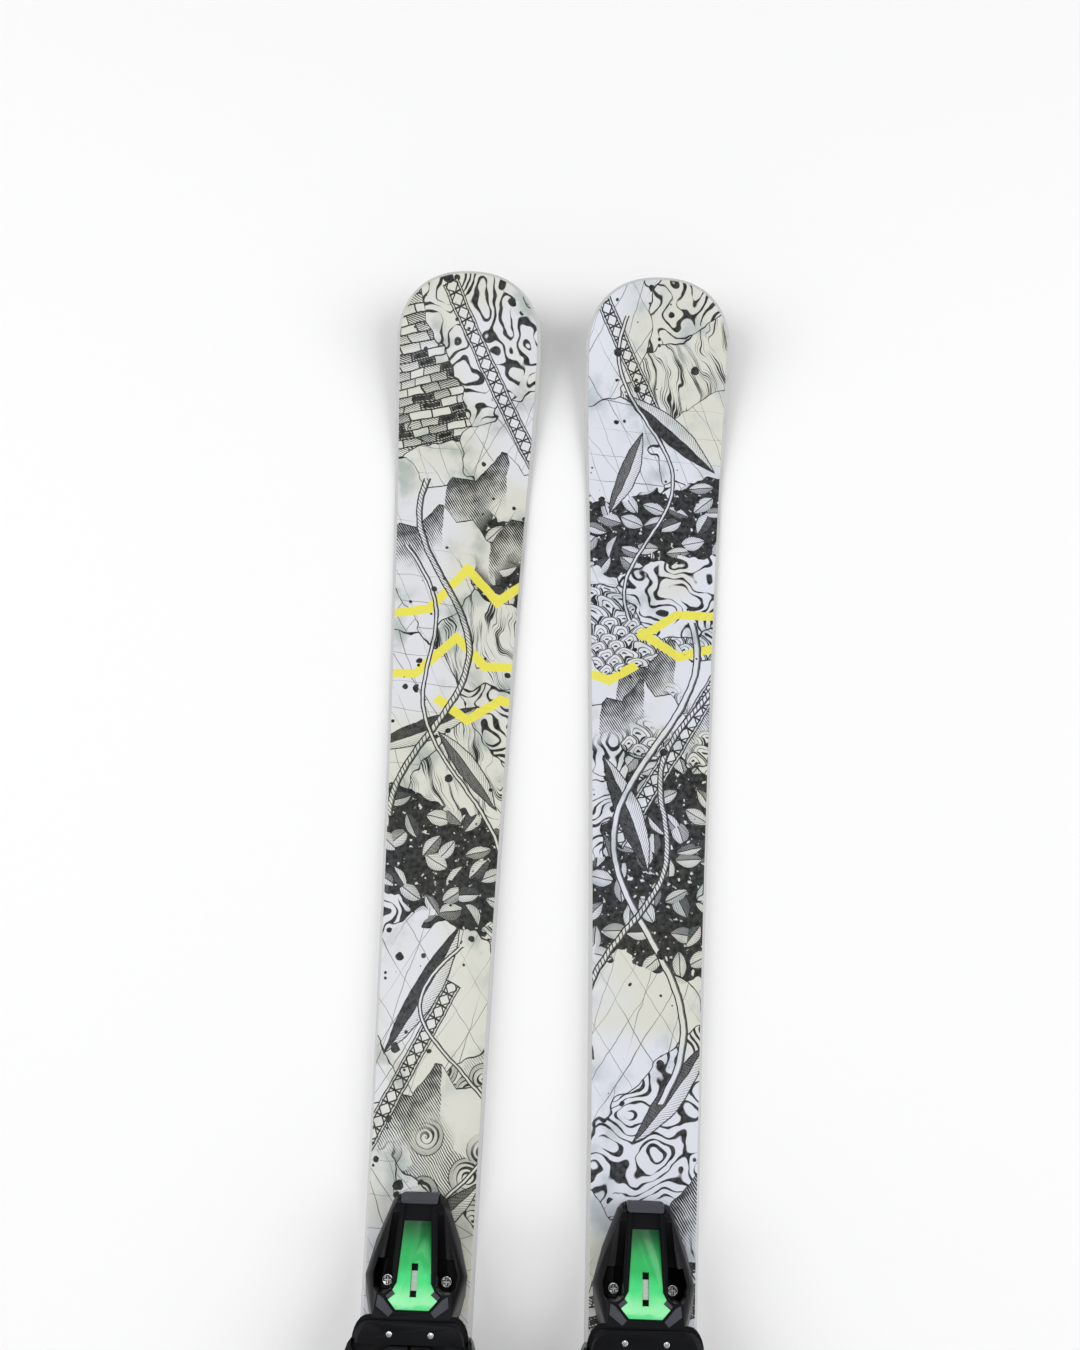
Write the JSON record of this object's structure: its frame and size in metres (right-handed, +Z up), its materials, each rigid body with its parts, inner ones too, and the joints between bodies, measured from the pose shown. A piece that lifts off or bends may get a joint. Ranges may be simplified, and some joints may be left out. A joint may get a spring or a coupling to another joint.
{
  "type": "alpine skis with bindings",
  "caption": "Shaped alpine skis with upturned ends, each carrying a release toe piece with pivoting wings and a sliding step-in heel piece with lever and brake.",
  "frame": {"origin": "on the surface under the running bases, at the middle of the skis' length, midway between the two skis", "axes": "+X across the skis to the right, +Y along the skis to the tips, +Z up out of the topsheets"},
  "size_m": [0.2834, 1.78, 0.0862],
  "materials": {
    "running_base": "sintered polyethylene, satin from stone grinding",
    "edge_steel": "ground spring steel",
    "core_wood": "laminated wood between glass laminates, hidden",
    "sidewall": "pale grey milled plastic, satin",
    "topsheet": "printed plastic film, glossy",
    "binding_black": "glass-filled moulding, fine texture",
    "binding_grey": "dark grey moulding, fine texture",
    "window_green": "clear green moulding, polished",
    "indicator_white": "white moulding",
    "screw_steel": "zinc-plated steel",
    "spring_steel": "oiled spring steel",
    "pad_grey": "low-friction plastic, smooth",
    "brake_wire": "bent steel wire, plated"
  },
  "bodies": {
    "left_ski": {"left_base_sheet": "running_base", "left_steel_edges": "edge_steel", "left_core": "core_wood", "left_sidewalls": "sidewall", "left_topsheet": "topsheet", "left_toe_base_plate": "binding_black", "left_toe_housing": "binding_black", "left_toe_nose_cap": "binding_grey", "left_toe_window": "window_green", "left_toe_trims": "binding_grey", "left_toe_spring": "spring_steel", "left_toe_wing_pins": "screw_steel", "left_heel_track": "binding_grey", "left_binding_screws": "screw_steel"},
    "left_toe_wing_left": {"left_toe_wing_left": "binding_black"},
    "left_toe_wing_right": {"left_toe_wing_right": "binding_black"},
    "left_toe_release_screw": {"left_toe_release_screw": "screw_steel"},
    "left_toe_indicator": {"left_toe_indicator": "indicator_white"},
    "left_sliding_pad": {"left_sliding_pad": "pad_grey"},
    "left_heel_carriage": {"left_heel_carriage": "binding_black", "left_heel_axle": "screw_steel", "left_heel_spring": "spring_steel"},
    "left_heel_cup": {"left_heel_cup": "binding_black"},
    "left_heel_lever": {"left_heel_lever": "binding_grey"},
    "left_heel_release_screw": {"left_heel_release_screw": "screw_steel"},
    "left_heel_indicator": {"left_heel_indicator": "indicator_white"},
    "left_heel_length_screw": {"left_heel_length_screw": "screw_steel"},
    "left_brake": {"left_brake_arms": "brake_wire", "left_brake_feet": "binding_black", "left_brake_pedal": "binding_black"},
    "right_ski": {"right_base_sheet": "running_base", "right_steel_edges": "edge_steel", "right_core": "core_wood", "right_sidewalls": "sidewall", "right_topsheet": "topsheet", "right_toe_base_plate": "binding_black", "right_toe_housing": "binding_black", "right_toe_nose_cap": "binding_grey", "right_toe_window": "window_green", "right_toe_trims": "binding_grey", "right_toe_spring": "spring_steel", "right_toe_wing_pins": "screw_steel", "right_heel_track": "binding_grey", "right_binding_screws": "screw_steel"},
    "right_toe_wing_left": {"right_toe_wing_left": "binding_black"},
    "right_toe_wing_right": {"right_toe_wing_right": "binding_black"},
    "right_toe_release_screw": {"right_toe_release_screw": "screw_steel"},
    "right_toe_indicator": {"right_toe_indicator": "indicator_white"},
    "right_sliding_pad": {"right_sliding_pad": "pad_grey"},
    "right_heel_carriage": {"right_heel_carriage": "binding_black", "right_heel_axle": "screw_steel", "right_heel_spring": "spring_steel"},
    "right_heel_cup": {"right_heel_cup": "binding_black"},
    "right_heel_lever": {"right_heel_lever": "binding_grey"},
    "right_heel_release_screw": {"right_heel_release_screw": "screw_steel"},
    "right_heel_indicator": {"right_heel_indicator": "indicator_white"},
    "right_heel_length_screw": {"right_heel_length_screw": "screw_steel"},
    "right_brake": {"right_brake_arms": "brake_wire", "right_brake_feet": "binding_black", "right_brake_pedal": "binding_black"}
  },
  "joints": [
    {"name": "left_toe_wing_left_open", "type": "hinge", "parent": "left_ski", "child": "left_toe_wing_left", "pos_m": [-0.0947, 0.0615, 0.037], "axis": [0, 0, -1], "range_deg": [0, 30], "stiffness_Nm_per_rad": 2, "springref_deg": -5.73},
    {"name": "left_toe_wing_right_open", "type": "hinge", "parent": "left_ski", "child": "left_toe_wing_right", "pos_m": [-0.0663, 0.0615, 0.037], "axis": [0, 0, 1], "range_deg": [0, 30], "stiffness_Nm_per_rad": 2, "springref_deg": -5.73},
    {"name": "left_toe_release_turn", "type": "hinge", "parent": "left_ski", "child": "left_toe_release_screw", "pos_m": [-0.0805, 0.1515, 0.0275], "axis": [0, 1, 0], "range_deg": [-1440, 1440]},
    {"name": "left_toe_indicator_travel", "type": "slide", "parent": "left_ski", "child": "left_toe_indicator", "axis": [0, 0.9784, -0.2068], "range_m": [-0.004, 0.004]},
    {"name": "left_sliding_pad_shift", "type": "slide", "parent": "left_ski", "child": "left_sliding_pad", "axis": [1, 0, 0], "range_m": [-0.008, 0.008], "stiffness_N_per_m": 400},
    {"name": "left_heel_carriage_shift", "type": "slide", "parent": "left_ski", "child": "left_heel_carriage", "axis": [0, 1, 0], "range_m": [-0.012, 0.012]},
    {"name": "left_heel_length_turn", "type": "hinge", "parent": "left_heel_carriage", "child": "left_heel_length_screw", "pos_m": [-0.0805, -0.3535, 0.0226], "axis": [0, 1, 0], "range_deg": [-1080, 1080]},
    {"name": "left_heel_cup_open", "type": "hinge", "parent": "left_heel_carriage", "child": "left_heel_cup", "pos_m": [-0.0805, -0.2895, 0.038], "axis": [1, 0, 0], "range_deg": [0, 55]},
    {"name": "left_heel_lever_press", "type": "hinge", "parent": "left_heel_cup", "child": "left_heel_lever", "pos_m": [-0.0805, -0.2755, 0.06], "axis": [1, 0, 0], "range_deg": [-24, 0]},
    {"name": "left_heel_release_turn", "type": "hinge", "parent": "left_heel_carriage", "child": "left_heel_release_screw", "pos_m": [-0.0805, -0.3535, 0.039], "axis": [0, 1, 0], "range_deg": [-1440, 1440]},
    {"name": "left_heel_indicator_travel", "type": "slide", "parent": "left_heel_carriage", "child": "left_heel_indicator", "axis": [0, 1, 0], "range_m": [-0.004, 0.004]},
    {"name": "left_brake_drop", "type": "hinge", "parent": "left_heel_carriage", "child": "left_brake", "pos_m": [-0.0805, -0.2295, 0.0235], "axis": [1, 0, 0], "range_deg": [0, 48]},
    {"name": "right_ski_apart", "type": "slide", "parent": "left_ski", "child": "right_ski", "axis": [1, 0, 0], "range_m": [0, 0.3]},
    {"name": "right_toe_wing_left_open", "type": "hinge", "parent": "right_ski", "child": "right_toe_wing_left", "pos_m": [0.0663, 0.0615, 0.037], "axis": [0, 0, -1], "range_deg": [0, 30], "stiffness_Nm_per_rad": 2, "springref_deg": -5.73},
    {"name": "right_toe_wing_right_open", "type": "hinge", "parent": "right_ski", "child": "right_toe_wing_right", "pos_m": [0.0947, 0.0615, 0.037], "axis": [0, 0, 1], "range_deg": [0, 30], "stiffness_Nm_per_rad": 2, "springref_deg": -5.73},
    {"name": "right_toe_release_turn", "type": "hinge", "parent": "right_ski", "child": "right_toe_release_screw", "pos_m": [0.0805, 0.1515, 0.0275], "axis": [0, 1, 0], "range_deg": [-1440, 1440]},
    {"name": "right_toe_indicator_travel", "type": "slide", "parent": "right_ski", "child": "right_toe_indicator", "axis": [0, 0.9784, -0.2068], "range_m": [-0.004, 0.004]},
    {"name": "right_sliding_pad_shift", "type": "slide", "parent": "right_ski", "child": "right_sliding_pad", "axis": [1, 0, 0], "range_m": [-0.008, 0.008], "stiffness_N_per_m": 400},
    {"name": "right_heel_carriage_shift", "type": "slide", "parent": "right_ski", "child": "right_heel_carriage", "axis": [0, 1, 0], "range_m": [-0.012, 0.012]},
    {"name": "right_heel_length_turn", "type": "hinge", "parent": "right_heel_carriage", "child": "right_heel_length_screw", "pos_m": [0.0805, -0.3535, 0.0226], "axis": [0, 1, 0], "range_deg": [-1080, 1080]},
    {"name": "right_heel_cup_open", "type": "hinge", "parent": "right_heel_carriage", "child": "right_heel_cup", "pos_m": [0.0805, -0.2895, 0.038], "axis": [1, 0, 0], "range_deg": [0, 55]},
    {"name": "right_heel_lever_press", "type": "hinge", "parent": "right_heel_cup", "child": "right_heel_lever", "pos_m": [0.0805, -0.2755, 0.06], "axis": [1, 0, 0], "range_deg": [-24, 0]},
    {"name": "right_heel_release_turn", "type": "hinge", "parent": "right_heel_carriage", "child": "right_heel_release_screw", "pos_m": [0.0805, -0.3535, 0.039], "axis": [0, 1, 0], "range_deg": [-1440, 1440]},
    {"name": "right_heel_indicator_travel", "type": "slide", "parent": "right_heel_carriage", "child": "right_heel_indicator", "axis": [0, 1, 0], "range_m": [-0.004, 0.004]},
    {"name": "right_brake_drop", "type": "hinge", "parent": "right_heel_carriage", "child": "right_brake", "pos_m": [0.0805, -0.2295, 0.0235], "axis": [1, 0, 0], "range_deg": [0, 48]}
  ],
  "couplings": [
    {"joint": "left_toe_indicator_travel", "follows": "left_toe_release_turn", "m_per_rad": 0.000159},
    {"joint": "left_heel_length_turn", "follows": "left_heel_carriage_shift", "rad_per_m": 1569.2},
    {"joint": "left_heel_lever_press", "follows": "left_heel_cup_open", "ratio": -0.436},
    {"joint": "left_heel_indicator_travel", "follows": "left_heel_release_turn", "m_per_rad": 0.000159},
    {"joint": "right_toe_indicator_travel", "follows": "right_toe_release_turn", "m_per_rad": 0.000159},
    {"joint": "right_heel_length_turn", "follows": "right_heel_carriage_shift", "rad_per_m": 1569.2},
    {"joint": "right_heel_lever_press", "follows": "right_heel_cup_open", "ratio": -0.436},
    {"joint": "right_heel_indicator_travel", "follows": "right_heel_release_turn", "m_per_rad": 0.000159}
  ]
}
